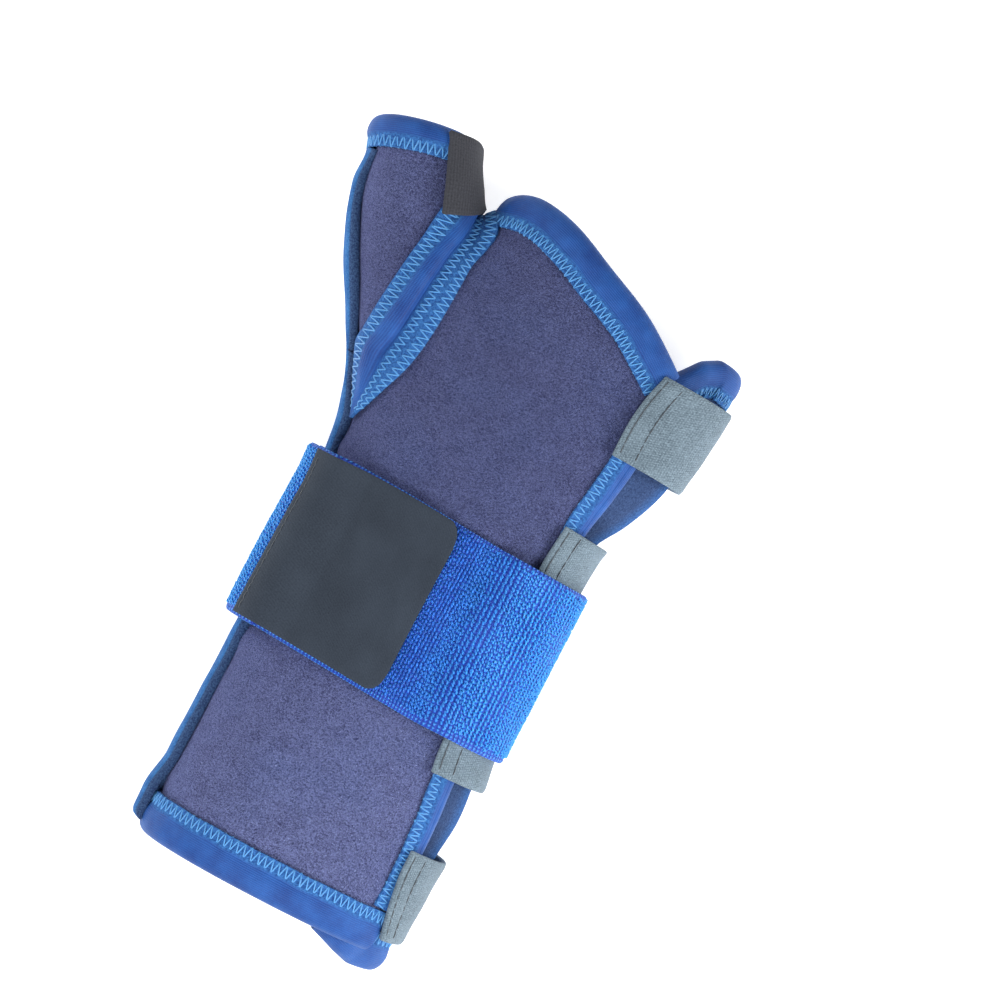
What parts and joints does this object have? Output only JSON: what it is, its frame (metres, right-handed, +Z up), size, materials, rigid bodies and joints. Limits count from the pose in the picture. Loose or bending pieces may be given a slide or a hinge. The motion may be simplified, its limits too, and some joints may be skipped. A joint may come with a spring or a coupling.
{
  "type": "thumb spica splint",
  "caption": "Soft padded right-hand wrist and thumb splint with bound edges, side closure tabs, a wide elastic wrist strap and a thumb sleeve.",
  "frame": {"origin": "centre of the splint's footprint, on the surface it lies on", "axes": "+X towards the little finger, +Y towards the fingertips, +Z up from the back of the hand; it lies palm side down"},
  "size_m": [0.1214, 0.2086, 0.0511],
  "materials": {
    "brushed_fabric": "brushed nap on a padded laminate",
    "binding_fabric": "smooth stretch binding with zigzag stitching",
    "tab_fabric": "short looped pile",
    "strap_elastic": "ribbed knitted elastic",
    "hook_fabric": "matt woven pile",
    "thumb_strap_fabric": "dense webbing",
    "strip_fabric": "matt edge tape"
  },
  "bodies": {
    "root": {"dorsal_panel": "brushed_fabric", "palmar_panel": "brushed_fabric", "thumb_panel": "brushed_fabric", "thumb_gusset": "binding_fabric", "proximal_binding": "binding_fabric", "dorsal_distal_binding": "binding_fabric", "palmar_distal_binding": "binding_fabric", "dorsal_edge_binding": "binding_fabric", "thumb_edge_binding": "strip_fabric", "thumb_top_binding": "binding_fabric", "wrist_strap": "strap_elastic", "strap_hook_tab": "hook_fabric", "thumb_strap": "thumb_strap_fabric", "closure_tab_1": "tab_fabric", "closure_tab_2": "tab_fabric", "closure_tab_3": "tab_fabric", "closure_tab_4": "tab_fabric"}
  },
  "joints": []
}
